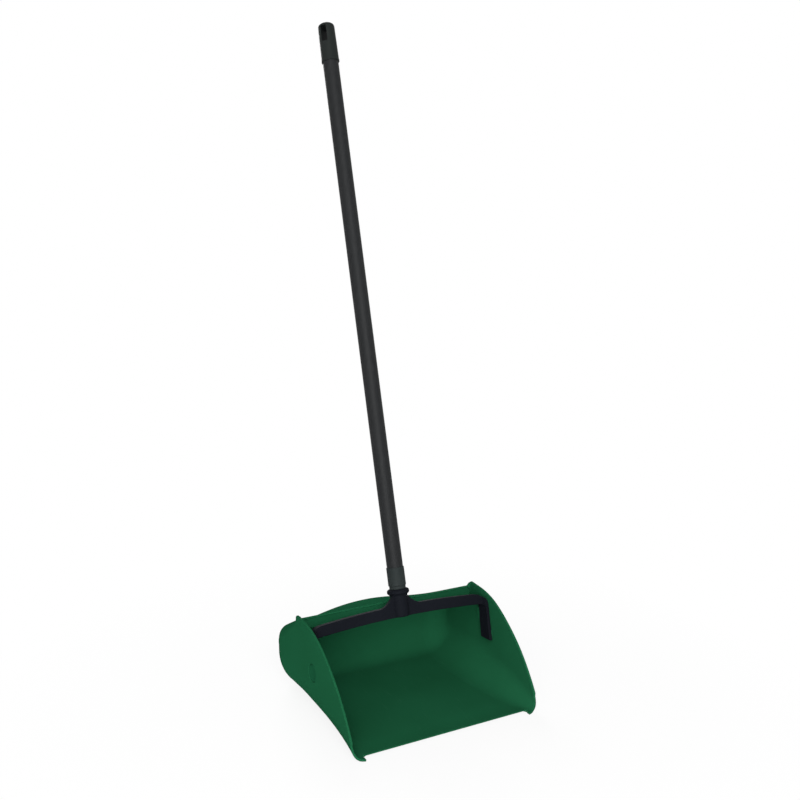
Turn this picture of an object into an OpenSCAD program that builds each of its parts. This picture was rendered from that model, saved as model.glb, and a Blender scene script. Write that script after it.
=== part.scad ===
// Lobby dustpan: a moulded pan hung on a hinged yoke with a long handle.
// The hinge axis runs along X, the pan opens towards -Y and stands on Z = 0.
// The origin lies on the floor, straight below the middle of the hinge axis.

/* [Pan] */
// Outside width across the side walls
pan_w = 284; // [250:1:330]
// Reach of the pan in front of the hinge axis, to its toes
pan_front = 119; // [110:1:135]
// Reach of the pan behind the hinge axis, to its back wall
pan_back = 137; // [130:1:160]
// Thickness of the moulded walls and the floor
wall_t = 3; // [2.4:0.1:3.6]
// Height of the ears at the top of the side walls
ear_h = 128.5; // [122:0.5:136]
// Distance of the ears behind the hinge axis
ear_back = 51; // [46:1:56]
// Rise of the ears above the front edge of the hood
ear_rise = 7.5; // [5:0.5:10]
// Reach of an ear past the upper end of the wall's front edge
ear_past = 4; // [2:0.5:6]
// Length of the raised ear along the top of the wall
ear_l = 22; // [16:1:28]
// Radius of the curved front edge of a side wall
front_edge_r = 192; // [170:1:240]
// Radius of the bottom corners at the toes
toe_corner_r = 14; // [10:1:18]
// Radius of the bottom corners at the end of the toes
toe_end_r = 25; // [20:1:28]
// Length of the toes, over which the bottom corners roll in fast
toe_l = 20; // [16:1:26]
// Radius of the bottom corners at the end of the flanks
flank_end_r = 34.5; // [30:0.5:38]
// Length of the flanks behind the toes
flank_l = 30; // [24:1:40]
// Radius of the bottom corners and the heel at the back
heel_r = 46; // [40:1:50]
// Radius of the shoulder between the back wall and the hood
shoulder_r = 30; // [24:1:34]
// Height of the shoulder's centre at the side walls
shoulder_z = 54; // [50:0.5:64]
// Rise of the hood's crown in the middle of its back
hood_crown = 19; // [8:0.5:22]
// Radius of the round corner between the hood, a side wall and the back
hood_corner_r = 16; // [12:0.5:20]
// Height of the centre of that corner
hood_corner_z = 76; // [70:0.5:80]
// Distance of the centre of that corner from the back wall
hood_corner_in = 38; // [32:1:44]
// Radius of the round between the hood's front edge and a side wall
hood_side_r = 7; // [5:0.5:10]
// Radius of the nose on the hood's front edge
hood_edge_r = 4; // [3.8:0.1:6]
// Height of the flange that hangs from the hood's front edge
fascia_h = 17; // [10:1:22]

/* [Lip] */
// Setback of the lip behind the front of the side walls
lip_setback = 6; // [4:0.5:9]
// Width of each toe beside the lip
toe_w = 17; // [15:1:22]
// Reach of a toe's inner tip in front of the side walls
toe_point = 3; // [1:0.5:5]
// Thickness of the lip at its edge
lip_t = 1.6; // [1:0.1:2.2]
// Height of the turned-up lip's lower edge above the ground
lip_lift = 1.9; // [1.2:0.1:3]

/* [Hinge] */
// Height of the hinge axis above the ground
pivot_z = 67; // [60:1:72]
// Diameter of a hinge pin's shaft
pin_d = 8; // [6:0.5:10]
// Diameter of a hinge pin's head
pin_head_d = 23; // [18:0.5:23.4]
// Thickness of a hinge pin's head
pin_head_t = 1.5; // [1:0.1:1.7]
// Depth of the dish in the middle of a pin's head
pin_dish = 0.7; // [0.3:0.1:0.8]
// Width of the flat rim round that dish
pin_rim = 3; // [1.5:0.5:4]
// Diameter of the round seat sunk in the outside of a side wall
seat_d = 24; // [23.5:0.5:28]
// Depth of the round seat
seat_depth = 1.8; // [1.2:0.1:2]
// Diameter of the round boss on the inside of a side wall
boss_d = 18; // [14:0.5:20]
// Height of that boss
boss_h = 1.2; // [0.8:0.1:1.6]
// Depth by which a pin reaches into the blind hole of an arm
pin_reach = 3; // [2:0.1:3.2]
// Width of the lead-in bevel at the inner end of a pin
pin_lead = 0.6; // [0.3:0.1:1]

/* [Yoke] */
// Lean of the handle behind upright when it rests on its stops, in degrees
handle_lean = 17.8; // [12:0.1:22]
// Thickness of the arms
arm_t = 4.5; // [3.6:0.1:6]
// Depth of an arm where it meets the crossbar
arm_top_d = 20; // [16:0.5:22]
// Depth of an arm at its lower end
arm_end_d = 22; // [20:0.5:24]
// Length of an arm below the hinge axis
arm_drop = 9.5; // [9:0.5:11]
// Rise of an arm's slanted lower end from front to back
arm_slant = 5; // [2:0.5:6]
// Distance of the middle of an arm's upper end in front of the handle's axis
bar_fore = 2.5; // [0:0.5:4]
// Depth of the crossbar's face behind the front edges of the arms
bar_recess = 8; // [5:0.5:9]
// Distance of the middle of an arm's lower end behind the handle's axis
arm_aft = 1; // [0:0.5:2]
// Distance from the hinge axis up to the top of the crossbar
bar_top = 64.3; // [62:0.1:72]
// Height of the crossbar's section
bar_h = 13.5; // [12:0.5:20]
// Drop of the crossbar's arched top from its middle to its ends
bar_arch = 3.5; // [3:0.5:9]
// Drop of the crossbar's arched underside from its middle to its ends
low_arch = 8; // [4:0.5:10]
// Radius of the outer corners between crossbar and arms
bar_corner_r = 12; // [9:0.5:14]
// Radius of the inner corners between crossbar and arms
bar_inner_r = 4; // [2.5:0.5:6]
// Wall left where the crossbar is cored out from behind
core_wall = 3; // [2.4:0.1:4]
// Number of stiffening ribs in each half of the cored crossbar
core_ribs = 4; // [2:1:6]

/* [Socket] */
// Distance from the hinge axis up to the top of the socket
socket_top = 87; // [84:1:94]
// Diameter of the socket's flange
flange_d = 31; // [29:0.5:36]
// Thickness of the socket's flange
flange_t = 6.5; // [4:0.5:8]
// Width of the bevel round the top of the flange
flange_bevel = 2; // [1:0.5:2.5]
// Diameter of the socket's neck below the flange
neck_d = 24.5; // [23.5:0.1:27]
// Diameter of the tapered socket at the crossbar's underside
socket_foot_d = 20.5; // [20:0.5:24]
// Reach of the gusset webs along the crossbar, from the handle's axis
gusset_reach = 30; // [22:1:36]
// Rise of the gusset webs above the crossbar
gusset_rise = 13; // [8:0.5:13]
// Thickness of the gusset webs
gusset_t = 7; // [4:0.5:9]

/* [Handle] */
// Outside diameter of the handle tube
tube_d = 22.8; // [21:0.1:23.6]
// Wall of the handle tube
tube_wall = 0.5; // [0.4:0.1:1]
// Distance from the hinge axis up to the top of the cap
handle_top = 903; // [780:1:1000]
// Diameter of the sleeve of the lower ferrule
ferrule_d = 24.8; // [24.4:0.1:27]
// Height of the lower ferrule above the socket
ferrule_h = 30; // [24:1:40]
// Height of the groove at the foot of the lower ferrule
groove_h = 4; // [2.5:0.5:5]
// Depth of that groove
groove_depth = 0.9; // [0.5:0.1:1.2]
// Major diameter of the screw plug's thread
thread_d = 17; // [14:0.5:17.5]
// Depth of the thread
thread_depth = 1.2; // [0.8:0.1:1.5]
// Pitch of the thread
thread_pitch = 4; // [3:0.5:5]
// Number of turns of thread in the socket
thread_turns = 7; // [5:1:7]
// Length of the screw plug inside the tube
plug_l = 40; // [30:1:60]

/* [Cap] */
// Length of the top cap
cap_l = 57; // [50:1:66]
// Diameter of the top cap above its rim
cap_d = 25.4; // [24.6:0.1:27]
// Diameter of the top cap near its top
cap_top_d = 24; // [22.5:0.1:25]
// Radius of the round on the cap's top
cap_round_r = 5; // [3:0.5:7]
// Height of the rim bead at the foot of the cap
cap_rim_h = 3; // [2:0.5:4]
// Rise of the rim bead above the cap
cap_rim_out = 0.3; // [0.2:0.1:0.8]
// Width of the hanging slot
slot_w = 8; // [6.5:0.5:9]
// Height of the hanging slot
slot_h = 23; // [16:0.5:24]
// Thickness of the bridge over the hanging slot
slot_bridge = 5; // [4:0.5:7]
// Turn of the hanging slot from the front towards the left, in degrees
slot_turn = 50; // [0:1:90]

/* [Stops] */
// Thickness of the stop ribs behind the arms, out from the side wall
stop_out = 5; // [4.5:0.5:6.5]
// Depth of the stop ribs from front to back
stop_d = 6; // [5:0.5:9]
// Height of the stop ribs
stop_h = 18; // [12:1:24]
// Distance from the hinge axis up to the foot of the stop ribs
stop_up = 20; // [16:1:24]

/* [Hidden] */

// Clearances: a running hinge, pieces that slide together, and faces that only pass each other
run_gap = 0.05;
slide_gap = 0.08;
pass_gap = 0.3;
// Overrun of a cut past the face that it opens
overrun = 40;
// Depth by which a rib, boss or ear is rooted in what carries it
root = 0.4;
// Inset of an ear's faces from the faces of its wall
ear_inset = 0.1;
// Radius of the tip of an ear
ear_tip_r = 3;
// Slope of the open top in front of the hood, as a share of the length that it runs
front_rise_share = 0.24;
// Thickness of the slices that the pan's closed form is drawn through
slice_t = 0.2;
// Facets of the rounds in the pan's shell
shell_fn = 48;
// Facets of every other round
round_fn = 96;
// Balls that carry the hood's crown, on each side of its middle
crown_steps = 6;

half_w = pan_w / 2;
inner_w = half_w - wall_t;
toe_y = -pan_front;
ear_y = ear_back;
hood_z = ear_h - ear_rise;
hood_y = ear_back + hood_edge_r / 2;
toe_end_y = toe_y + toe_l;
lip_y = toe_y + lip_setback;
flank_end_y = toe_end_y + flank_l;

// Centre of the circle that the front edge of a side wall follows, from toe to ear
edge_run = ear_y - toe_y;
edge_chord = norm([edge_run, ear_h]);
edge_off = sqrt(pow(front_edge_r, 2) - pow(edge_chord / 2, 2));
edge_cy = toe_y + edge_run / 2 + edge_off * ear_h / edge_chord;
edge_cz = ear_h / 2 - edge_off * edge_run / edge_chord;
// Height of that front edge at a place y
function edge_z(y) = edge_cz + sqrt(pow(front_edge_r, 2) - pow(y - edge_cy, 2));

// Arms stand between the bosses of the two walls
arm_x = inner_w - boss_h - pass_gap - arm_t;
arm_out_x = arm_x + arm_t;
seat_x = half_w - seat_depth;
pin_end_x = arm_out_x - pin_reach;

// Arched crossbar in the plane of the handle
bar_low = bar_top - bar_h;
arch_span = arm_x;
arch_r = (pow(arch_span, 2) + pow(bar_arch, 2)) / (2 * bar_arch);
arch_cz = bar_top - arch_r;
corner_x = arm_out_x - bar_corner_r;
corner_z = arch_cz + sqrt(pow(arch_r - bar_corner_r, 2) - pow(corner_x, 2));
corner_share = arch_r / (arch_r - bar_corner_r);
low_r = (pow(arch_span, 2) + pow(low_arch, 2)) / (2 * low_arch);
low_cz = bar_low - low_r;
inner_x = arm_x - bar_inner_r;
inner_z = low_cz + sqrt(pow(low_r - bar_inner_r, 2) - pow(inner_x, 2));
inner_share = low_r / (low_r - bar_inner_r);
arm_joint = bar_low - low_arch - bar_inner_r;
bar_front = -arm_top_d / 2 - bar_fore;
bar_back = bar_front + arm_top_d;
bar_face = bar_front + bar_recess;
end_front = -arm_end_d / 2 + arm_aft;
end_back = end_front + arm_end_d;
end_back_z = arm_slant - arm_drop;
// Fore-and-aft place of an arm's back edge, at a distance z along the handle's axis
function arm_back(z) =
    max(bar_back, end_back + (bar_back - end_back) * (z - end_back_z) / (arm_joint - end_back_z));

// Cells of the cored crossbar, on each side of the socket
core_x = neck_d / 2 + core_wall;
core_cell = (arm_x - bar_inner_r - core_x - core_ribs * core_wall) / (core_ribs + 1);

// Places along the handle's axis, up from the hinge axis
ferrule_top = socket_top + ferrule_h;
tube_foot = socket_top + groove_h + core_wall;
cap_foot = handle_top - cap_l;
slot_foot = handle_top - slot_bridge - slot_h;
tube_top = slot_foot - core_wall;
thread_l = thread_pitch * thread_turns;

module ball(r, fn) {
    rotate_extrude($fn = fn)
        intersection() {
            circle(r = r, $fn = fn);
            translate([0, -r]) square([r, 2 * r]);
        }
}

// An outline drawn in Y and Z, drawn out along X from x0
module along_x(x0, length) {
    translate([x0, 0, 0])
        rotate([90, 0, 90])
            linear_extrude(height = length) children();
}

// An outline drawn in X and Z, drawn out along Y from y0
module along_y(y0, length) {
    translate([0, y0 + length, 0])
        rotate([90, 0, 0])
            linear_extrude(height = length) children();
}

module both_sides() {
    children();
    mirror([1, 0, 0]) children();
}

// The handle's own frame: Z along the handle, origin on the hinge axis
module on_handle() {
    translate([0, 0, pivot_z])
        rotate([-handle_lean, 0, 0]) children();
}

// Height of the open top of the pan's closed form, in front of the hood
function top_z(y) = hood_z + (hood_y - y) * front_rise_share;

// Radius of the bottom corners along the toes, at a place y
function toe_r(y) = toe_corner_r + (toe_end_r - toe_corner_r) * (y - toe_y) / toe_l;

// Thin slice of the closed form behind a place y, drawn in by inset: two bottom corners and the top
module form_slice(y, corner_r, inset) {
    wide = half_w - inset;
    along_y(y, slice_t) {
        both_sides()
            translate([half_w - corner_r, corner_r]) circle(r = corner_r - inset, $fn = shell_fn);
        translate([-wide, top_z(y) - inset - slice_t]) square([2 * wide, slice_t]);
    }
}

// Closed form of the pan, drawn in by inset from its outside, and open-ended at the front
module pan_form(inset, reach) {
    wide = half_w - hood_side_r;
    front_y = toe_y - reach;
    hull() {
        form_slice(front_y, toe_r(front_y), inset);
        form_slice(toe_end_y - slice_t, toe_end_r, inset);
    }
    hull() {
        form_slice(toe_end_y, toe_end_r, inset);
        form_slice(flank_end_y - slice_t, flank_end_r, inset);
    }
    hull() {
        form_slice(flank_end_y, flank_end_r, inset);
        both_sides() {
            translate([half_w - heel_r, pan_back - heel_r, heel_r])
                ball(heel_r - inset, shell_fn);
            translate([half_w - hood_corner_r, pan_back - hood_corner_in, hood_corner_z])
                ball(hood_corner_r - inset, shell_fn);
            translate([half_w - hood_side_r, hood_y, hood_z - hood_side_r])
                ball(hood_side_r - inset, shell_fn);
        }
        translate([-wide, hood_y, hood_z - hood_edge_r])
            rotate([0, 90, 0])
                cylinder(r = hood_edge_r - inset, h = 2 * wide, $fn = shell_fn);
        for (step = [-crown_steps : crown_steps]) {
            share = step / crown_steps;
            translate([(half_w - shoulder_r) * share, pan_back - shoulder_r,
                       shoulder_z + hood_crown * (1 - share * share)])
                ball(shoulder_r - inset, shell_fn);
        }
    }
}

// Everything behind the curved front edge of the side walls
module behind_front_edge() {
    along_x(-half_w - overrun, 2 * (half_w + overrun)) {
        translate([edge_cy, edge_cz]) circle(r = front_edge_r, $fn = round_fn);
        translate([ear_y, -overrun]) square([pan_back + overrun, ear_h + 2 * overrun]);
    }
}

// Raised tip at the top of a side wall, just under the line of the wall's front edge
module ear() {
    ear_foot = hood_z - ear_rise;
    ear_end = ear_y + ear_past;
    along_x(inner_w + ear_inset, wall_t - 2 * ear_inset) {
        polygon([[ear_y - ear_l, ear_foot], [ear_end, ear_foot], [ear_end, ear_h - ear_tip_r],
                 [ear_end - ear_tip_r, ear_h], [ear_y - ear_tip_r, ear_h],
                 [ear_y - ear_l, edge_z(ear_y - ear_l) - ear_inset]]);
        translate([ear_end - ear_tip_r, ear_h - ear_tip_r]) circle(r = ear_tip_r, $fn = round_fn);
    }
}

// Room between the toes seen from above, widened by more on each side: the lip's own share of the floor
module lip_room(more) {
    toe_x = half_w - toe_w + more;
    floor_x = half_w - toe_end_r + more;
    translate([0, 0, -overrun])
        linear_extrude(height = 2 * overrun)
            polygon([[-toe_x, toe_y - overrun], [toe_x, toe_y - overrun], [toe_x, lip_y],
                     [floor_x, toe_end_y + more], [-floor_x, toe_end_y + more], [-toe_x, lip_y]]);
}

// Lip that turns up and thins towards its edge
module lip() {
    intersection() {
        along_x(-half_w, pan_w)
            polygon([[lip_y, lip_lift], [lip_y, lip_lift + lip_t], [toe_end_y, wall_t],
                     [toe_end_y + root, wall_t - ear_inset], [toe_end_y + root, ear_inset], [toe_end_y, 0]]);
        lip_room(root);
    }
}

// Room taken by the pointed toe of one side wall, in front of the wall's curved edge
module toe_room() {
    toe_x = half_w - toe_w;
    toe_out = half_w - toe_corner_r / 2;
    translate([0, 0, -overrun])
        linear_extrude(height = overrun + toe_corner_r / 2)
            polygon([[toe_x, toe_y - toe_point], [toe_out, toe_y + root],
                     [toe_out, lip_y], [toe_x, lip_y]]);
}

// Rib behind an arm, which the arm leans on at rest
module stop_rib() {
    stop_top = stop_up + stop_h;
    on_handle()
        along_x(inner_w - stop_out, stop_out + root)
            translate([pass_gap, 0])
                polygon([[arm_back(stop_up), stop_up], [arm_back(stop_up) + stop_d, stop_up],
                         [arm_back(stop_top) + stop_d, stop_top], [arm_back(stop_top), stop_top]]);
}

module pan() {
    color("darkgreen") {
        lip();
        difference() {
            union() {
                difference() {
                    intersection() {
                        pan_form(0, toe_l / 2);
                        union() {
                            behind_front_edge();
                            both_sides() toe_room();
                        }
                    }
                    pan_form(wall_t, toe_l / 2 + wall_t);
                    translate([ear_inset - inner_w, 0, pivot_z])
                        cube([2 * (inner_w - ear_inset), hood_y, ear_h]);
                }
                translate([-inner_w - root, hood_y + ear_inset, hood_z - fascia_h])
                    cube([2 * (inner_w + root), wall_t, fascia_h - wall_t / 2]);
                both_sides() {
                    ear();
                    stop_rib();
                    translate([inner_w - boss_h, 0, pivot_z])
                        rotate([0, 90, 0])
                            cylinder(d = boss_d, h = boss_h + root, $fn = round_fn);
                }
            }
            lip_room(0);
            both_sides() {
                translate([seat_x, 0, pivot_z])
                    rotate([0, 90, 0])
                        cylinder(d = seat_d, h = seat_depth + overrun, $fn = round_fn);
                translate([0, 0, pivot_z])
                    rotate([0, 90, 0])
                        cylinder(d = pin_d + 2 * slide_gap, h = half_w + overrun, $fn = round_fn);
            }
        }
    }
}

// Front outline of the crossbar and of the corners where it turns down into the arms
module yoke_outline() {
    difference() {
        union() {
            intersection() {
                translate([0, arch_cz]) circle(r = arch_r, $fn = round_fn);
                translate([-corner_x * corner_share, arm_joint])
                    square([2 * corner_x * corner_share, bar_top]);
            }
            translate([-arm_out_x, arm_joint]) square([2 * arm_out_x, corner_z - arm_joint]);
            both_sides() translate([corner_x, corner_z]) circle(r = bar_corner_r, $fn = round_fn);
        }
        intersection() {
            translate([0, low_cz]) circle(r = low_r, $fn = round_fn);
            translate([-inner_x * inner_share, -overrun])
                square([2 * inner_x * inner_share, bar_top + overrun]);
        }
        translate([-arm_x, -overrun]) square([2 * arm_x, inner_z + overrun]);
        both_sides() translate([inner_x, inner_z]) circle(r = bar_inner_r, $fn = round_fn);
    }
}

// Side outline of an arm, slanted at its lower end
module arm_outline() {
    polygon([[bar_front, arm_joint], [bar_back, arm_joint],
             [end_back, end_back_z], [end_front, -arm_drop]]);
}

// Pocket between two ribs of the cored crossbar
module core_pocket(cell) {
    along_y(bar_face + core_wall, arm_top_d)
        intersection() {
            difference() {
                translate([0, arch_cz]) circle(r = arch_r - core_wall, $fn = round_fn);
                translate([0, low_cz]) circle(r = low_r + core_wall, $fn = round_fn);
            }
            translate([core_x + cell * (core_cell + core_wall), 0])
                square([core_cell, bar_top]);
        }
}

// Outline of the gusset web on one side of the socket, rooted in the crossbar
module gusset_outline() {
    web_foot = bar_top - core_wall / 2;
    web_top = bar_top + gusset_rise;
    polygon([[0, web_top], [neck_d / 2, web_top], [gusset_reach, web_foot], [0, web_foot]]);
}

// Half section of the socket
module socket_section() {
    flange_z = socket_top - flange_t;
    flange_r = flange_d / 2;
    foot_r = socket_foot_d / 2;
    neck_r = neck_d / 2;
    polygon([[0, bar_low], [foot_r, bar_low], [neck_r, bar_top + gusset_rise / 2],
             [neck_r, flange_z - flange_bevel],
             [flange_r - flange_bevel / 2, flange_z], [flange_r, flange_z + flange_bevel / 2],
             [flange_r, socket_top - flange_bevel], [flange_r - flange_bevel, socket_top],
             [0, socket_top]]);
}

module yoke() {
    color("#23262b")
        on_handle()
            difference() {
                union() {
                    difference() {
                        along_y(bar_front, arm_top_d) yoke_outline();
                        both_sides()
                            for (cell = [0 : core_ribs]) core_pocket(cell);
                        translate([-arm_x, bar_front - overrun, 0])
                            cube([2 * arm_x, bar_recess + overrun, bar_top + overrun]);
                    }
                    both_sides() {
                        along_x(arm_x, arm_t) arm_outline();
                        along_y(bar_face, gusset_t)
                            gusset_outline();
                    }
                    rotate_extrude($fn = round_fn) socket_section();
                }
                translate([0, 0, socket_top - thread_l])
                    cylinder(d = thread_d + 2 * slide_gap, h = thread_l + overrun, $fn = round_fn);
                both_sides()
                    translate([pin_end_x - pass_gap, 0, 0])
                        rotate([0, 90, 0])
                            cylinder(d = pin_d + 2 * run_gap, h = arm_t + overrun, $fn = round_fn);
            }
}

// Hinge pin of the right-hand side: dished head in the wall's seat, bevelled end in the arm's blind hole
module pin() {
    dish_d = pin_head_d - 2 * pin_rim;
    translate([0, 0, pivot_z])
        rotate([0, 90, 0])
            difference() {
                union() {
                    translate([0, 0, seat_x]) cylinder(d = pin_head_d, h = pin_head_t, $fn = round_fn);
                    translate([0, 0, pin_end_x + pin_lead])
                        cylinder(d = pin_d, h = seat_x - pin_end_x - pin_lead + root, $fn = round_fn);
                    translate([0, 0, pin_end_x])
                        cylinder(d1 = pin_d - 2 * pin_lead, d2 = pin_d, h = pin_lead, $fn = round_fn);
                }
                translate([0, 0, seat_x + pin_head_t - pin_dish])
                    cylinder(d1 = dish_d - pin_dish, d2 = dish_d + root, h = pin_dish + root, $fn = round_fn);
            }
}

module pivot_pin_right() {
    color("green") pin();
}

module pivot_pin_left() {
    color("green") mirror([1, 0, 0]) pin();
}

module handle_tube() {
    color("dimgray")
        on_handle()
            translate([0, 0, tube_foot])
                difference() {
                    cylinder(d = tube_d, h = tube_top - tube_foot, $fn = round_fn);
                    translate([0, 0, -overrun])
                        cylinder(d = tube_d - 2 * tube_wall, h = tube_top + overrun, $fn = round_fn);
                }
}

module lower_ferrule() {
    groove_r = ferrule_d / 2 - groove_depth;
    hole_r = thread_d / 2 + slide_gap;
    bore_r = tube_d / 2 + slide_gap;
    color("#3c4242")
        on_handle()
            rotate_extrude($fn = round_fn)
                polygon([[hole_r, socket_top], [groove_r, socket_top], [groove_r, socket_top + groove_h],
                         [ferrule_d / 2, socket_top + groove_h + groove_depth],
                         [ferrule_d / 2, ferrule_top - groove_depth / 2],
                         [ferrule_d / 2 - groove_depth / 2, ferrule_top], [bore_r, ferrule_top],
                         [bore_r, tube_foot], [hole_r, tube_foot]]);
}

// Threaded plug: ridges below the socket's top, a plain shank, and a body inside the tube
module screw_plug() {
    shank_r = thread_d / 2 - thread_depth;
    body_r = tube_d / 2 - tube_wall - slide_gap;
    foot = socket_top - thread_l + slide_gap;
    color("#4a4a4a")
        on_handle() {
            translate([0, 0, foot])
                cylinder(r = shank_r, h = tube_foot - foot + root, $fn = round_fn);
            for (turn = [0 : thread_turns - 1])
                translate([0, 0, foot + turn * thread_pitch]) {
                    cylinder(r1 = shank_r, r2 = thread_d / 2, h = thread_pitch / 2, $fn = round_fn);
                    translate([0, 0, thread_pitch / 2])
                        cylinder(r1 = thread_d / 2, r2 = shank_r, h = thread_pitch / 2, $fn = round_fn);
                }
            translate([0, 0, tube_foot])
                cylinder(r = body_r, h = plug_l, $fn = round_fn);
        }
}

module top_cap() {
    rim_r = cap_d / 2 + cap_rim_out;
    top_r = cap_top_d / 2;
    round_z = handle_top - cap_round_r;
    color("#2b2d2e")
        on_handle()
            difference() {
                rotate_extrude($fn = round_fn) {
                    polygon([[0, cap_foot], [rim_r, cap_foot], [rim_r, cap_foot + cap_rim_h],
                             [cap_d / 2, cap_foot + cap_rim_h], [top_r, round_z], [0, round_z]]);
                    intersection() {
                        translate([top_r - cap_round_r, round_z]) circle(r = cap_round_r, $fn = round_fn);
                        translate([0, round_z - root]) square([top_r, cap_round_r + root]);
                    }
                    translate([0, round_z - root]) square([top_r - cap_round_r, cap_round_r + root]);
                }
                translate([0, 0, cap_foot - overrun])
                    cylinder(d = tube_d + 2 * slide_gap, h = tube_top + slide_gap - cap_foot + overrun,
                             $fn = round_fn);
                rotate([0, 0, -slot_turn])
                    translate([-slot_w / 2, -overrun, slot_foot])
                        cube([slot_w, 2 * overrun, slot_h]);
            }
}

pan();
yoke();
pivot_pin_left();
pivot_pin_right();
handle_tube();
lower_ferrule();
screw_plug();
top_cap();
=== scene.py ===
# %% [markdown]
# # A lobby dustpan
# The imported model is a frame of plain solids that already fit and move. This lesson dresses that
# frame: each visible moulding is modelled again with the soft edges and finishes that the real one
# has, in the same place, and rides on the body that it belongs to.

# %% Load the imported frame
import math

import bmesh
import bpy
from mathutils import Matrix, Vector


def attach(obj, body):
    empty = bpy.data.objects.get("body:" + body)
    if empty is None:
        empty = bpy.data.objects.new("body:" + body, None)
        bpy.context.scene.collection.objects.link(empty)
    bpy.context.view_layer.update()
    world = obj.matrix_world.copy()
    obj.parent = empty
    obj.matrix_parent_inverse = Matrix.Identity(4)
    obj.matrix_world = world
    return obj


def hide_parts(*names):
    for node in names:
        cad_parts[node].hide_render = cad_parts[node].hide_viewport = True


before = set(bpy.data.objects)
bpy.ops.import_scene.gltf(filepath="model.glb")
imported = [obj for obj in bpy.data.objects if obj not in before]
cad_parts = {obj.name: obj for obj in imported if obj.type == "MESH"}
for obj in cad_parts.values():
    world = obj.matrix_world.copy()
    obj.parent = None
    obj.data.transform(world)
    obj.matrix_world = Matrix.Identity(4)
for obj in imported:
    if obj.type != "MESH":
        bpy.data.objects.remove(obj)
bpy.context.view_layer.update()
MM = 0.001

# %% [markdown]
# The camera comes first, because every later step is compared through it. Its place was worked out
# from the photograph: the tube's known thickness gives the scale, and the pan's straight lip and
# level floor give the tilt. A camera could be aimed with a Track To constraint. A matrix is surer:
# its columns are simply the camera's right, up and backward directions.

# %% Camera at the photograph's viewpoint
LENS_RIGHT = Vector((0.86626359, -0.49892607, 0.02569372))
LENS_UP = Vector((0.07363278, 0.17837545, 0.98120355))
LENS_AHEAD = Vector((0.49413117, 0.84808901, -0.19125747))
LENS_PLACE = Vector((-664.1, -1106.0, 672.5))
SENSOR_W, FOCAL_LENGTH, SIGHT_END = 36.0, 45.0, 50.0
lens = bpy.data.cameras.new("studio_camera")
lens.sensor_fit = "HORIZONTAL"
lens.sensor_width, lens.lens, lens.clip_end = SENSOR_W, FOCAL_LENGTH, SIGHT_END
camera = bpy.data.objects.new("studio_camera", lens)
turn = Matrix((LENS_RIGHT, LENS_UP, -LENS_AHEAD)).transposed()
camera.matrix_world = Matrix.Translation(LENS_PLACE * MM) @ turn.to_4x4()
bpy.context.scene.collection.objects.link(camera)
bpy.context.scene.camera = camera
print("camera at", [round(v, 3) for v in camera.location])

# %% [markdown]
# Every moulded edge is a little round, and every piece ends the same way. A Bevel modifier could
# round the edges, but a bevel in the mesh is easier to keep to the edges that are really sharp.
# The bmesh then becomes an object at the origin, shaded smooth except where two faces meet at a
# real edge; it is hung on the body it rides on, and the plain solid it stands for is hidden. Large
# flat faces next to small rounds can look dented, so the normals are weighted by face area.

# %% Soft edges, and how a finished piece is handed over
SHARP_FROM = math.radians(38)


def soften(bm, width, segments=3, degrees=40):
    limit = math.radians(degrees)
    edges = [e for e in bm.edges if len(e.link_faces) == 2 and e.calc_face_angle(0) > limit]
    bmesh.ops.bevel(bm, geom=edges, offset=width * MM, offset_type="OFFSET", affect="EDGES",
                    segments=segments, profile=0.5, material=-1, clamp_overlap=True)


def hand_over(bm, name, body, node):
    mesh = bpy.data.meshes.new(name)
    bm.to_mesh(mesh)
    bm.free()
    mesh.shade_smooth()
    mesh.set_sharp_from_angle(angle=SHARP_FROM)
    piece = bpy.data.objects.new(name, mesh)
    bpy.context.scene.collection.objects.link(piece)
    weights = piece.modifiers.new("area_weighted_shading", "WEIGHTED_NORMAL")
    weights.keep_sharp = True
    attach(piece, body)
    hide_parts(node)
    print(name, len(mesh.polygons), "faces on", body)
    return piece


print("edges are sharp from", round(math.degrees(SHARP_FROM)), "degrees")

# %% [markdown]
# ## The pan
# The pan is one thin green moulding: a floor that rolls up through a heel into the back wall, over
# a shoulder and forward again as a hood, with a flat wall on each side. It could be carved from a
# block with booleans, but those leave poor faces. A moulding is a skin of even thickness, so here
# one side profile is drawn out across the width, its two ends roll down into the walls, and the
# skin is then given its thickness. All sizes are in millimetres.

# %% Outer sizes, curved front edge and pointed toes
HALF_W, WALL, TOE_Y, BACK_Y = 142.0, 3.0, -119.0, 137.0
EAR_Y, EAR_Z, EDGE_R = 51.0, 128.0, 192.0
TOE_X, TOE_POINT, TOE_SLOPE = 125.0, 3.0, 3.0
chord = math.hypot(EAR_Y - TOE_Y, EAR_Z)
off_chord = math.sqrt(EDGE_R ** 2 - (chord / 2) ** 2)
EDGE_CY = (TOE_Y + EAR_Y) / 2 + off_chord * EAR_Z / chord
EDGE_CZ = EAR_Z / 2 - off_chord * (EAR_Y - TOE_Y) / chord


def front_edge_y(z):
    return EDGE_CY - math.sqrt(EDGE_R ** 2 - (z - EDGE_CZ) ** 2)


def toe_front_y(x):
    past = abs(x) - TOE_X
    inner_flank = TOE_Y - TOE_POINT + past / TOE_SLOPE
    outer_flank = TOE_Y + (past - TOE_SLOPE * TOE_POINT) * TOE_SLOPE
    return max(inner_flank, outer_flank)


print("front edge turns about", round(EDGE_CY, 1), round(EDGE_CZ, 1))

# %% Rolled corners of the floor and crown of the hood
HEEL_R, HEEL_SIDE_R = 46.0, 44.5
HEEL_Y = BACK_Y - HEEL_R
CORNER_MOST, CORNER_LOSS, CORNER_FADE, CORNER_SLOPE = 50.0, 36.0, 60.0, 0.08
CROWN_HALF_W, CROWN_BLEND = 98.6, 0.12


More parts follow.
